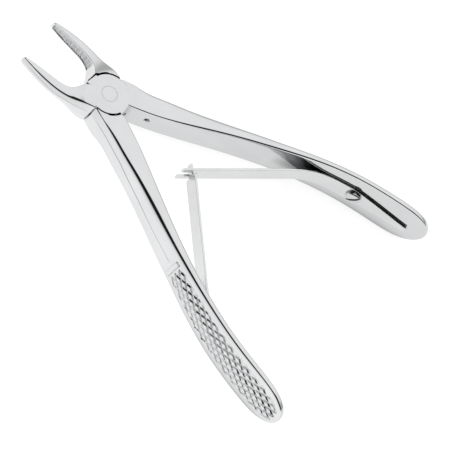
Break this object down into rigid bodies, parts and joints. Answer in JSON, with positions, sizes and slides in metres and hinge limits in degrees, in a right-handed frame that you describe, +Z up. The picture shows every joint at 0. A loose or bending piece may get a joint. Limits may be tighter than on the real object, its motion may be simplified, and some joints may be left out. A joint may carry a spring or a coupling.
{
  "type": "extraction forceps",
  "caption": "Paediatric dental extraction forceps: crossing steel levers on a riveted lap joint, knurled handles, serrated beaks, held open by interlocking leaf springs.",
  "frame": {"origin": "centre of the open forceps' bounding box in plan, at the undermost edge of the handles", "axes": "+X along the bisector from the beaks to the handle ends, +Y towards the upper lever's handle, +Z up along the pivot axis"},
  "size_m": [0.126, 0.0874, 0.0166],
  "materials": {
    "lever_steel": "mirror polished stainless steel",
    "spring_steel": "polished spring steel strip",
    "screw_steel": "polished stainless steel",
    "pin_steel": "polished flush with the joint"
  },
  "bodies": {
    "lower_body": {"lower_lever": "lever_steel", "tongue_spring_seat": "spring_steel", "tongue_spring_screw": "screw_steel", "pivot_pin": "pin_steel"},
    "upper_body": {"upper_lever": "lever_steel", "fork_spring_seat": "spring_steel", "fork_spring_screw": "screw_steel", "stop_stud": "screw_steel"},
    "fork_blade": {"fork_spring_blade": "spring_steel"},
    "tongue_blade": {"tongue_spring_blade": "spring_steel"}
  },
  "joints": [
    {"name": "handle_pivot", "type": "hinge", "parent": "lower_body", "child": "upper_body", "pos_m": [-0.03685, 0, 0.0083], "axis": [0, 0, -1], "range_deg": [0, 30], "stiffness_Nm_per_rad": 0.4, "springref_deg": -11.46},
    {"name": "fork_spring_flex", "type": "hinge", "parent": "upper_body", "child": "fork_blade", "pos_m": [0.02515, 0.0306, 0.0083], "axis": [0, 0, -1], "range_deg": [0, 16]},
    {"name": "tongue_spring_flex", "type": "hinge", "parent": "lower_body", "child": "tongue_blade", "pos_m": [0.02515, -0.02988, 0.0083], "axis": [0, 0, 1], "range_deg": [0, 12.5]}
  ],
  "couplings": [
    {"joint": "fork_spring_flex", "follows": "handle_pivot", "ratio": 0.52},
    {"joint": "tongue_spring_flex", "follows": "handle_pivot", "ratio": 0.4}
  ]
}
